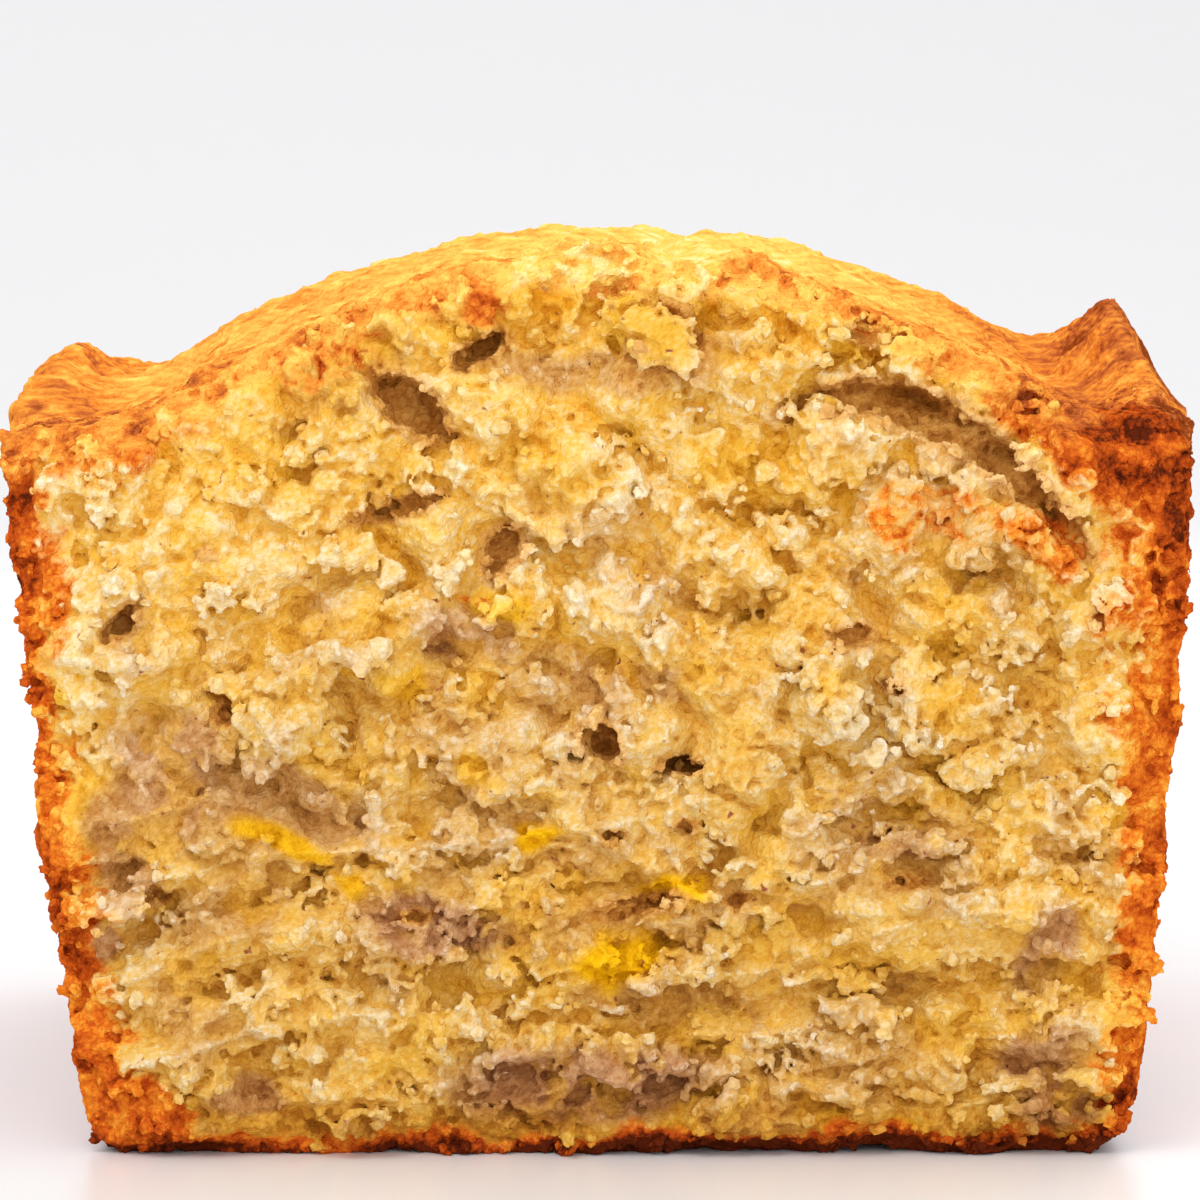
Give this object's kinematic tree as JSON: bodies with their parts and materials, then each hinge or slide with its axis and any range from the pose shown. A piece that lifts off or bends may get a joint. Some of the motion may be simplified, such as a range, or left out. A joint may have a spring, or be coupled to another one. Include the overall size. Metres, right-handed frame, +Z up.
{
  "type": "banana bread loaf",
  "caption": "Partly eaten banana bread loaf with a domed split top, browned crust, raised rim lips, and one torn cut end with lumpy, holed crumb.",
  "frame": {"origin": "middle of the loaf's bounding box, on the surface it stands on", "axes": "+Y along the loaf from the torn cut end to the rounded baked end, +X across it to the right as the cut end is seen, +Z up"},
  "size_m": [0.1167, 0.1505, 0.0899],
  "materials": {
    "baked_crumb": "matte, porous golden crumb with an orange-brown baked crust"
  },
  "bodies": {
    "root": {"loaf": "baked_crumb"}
  },
  "joints": []
}
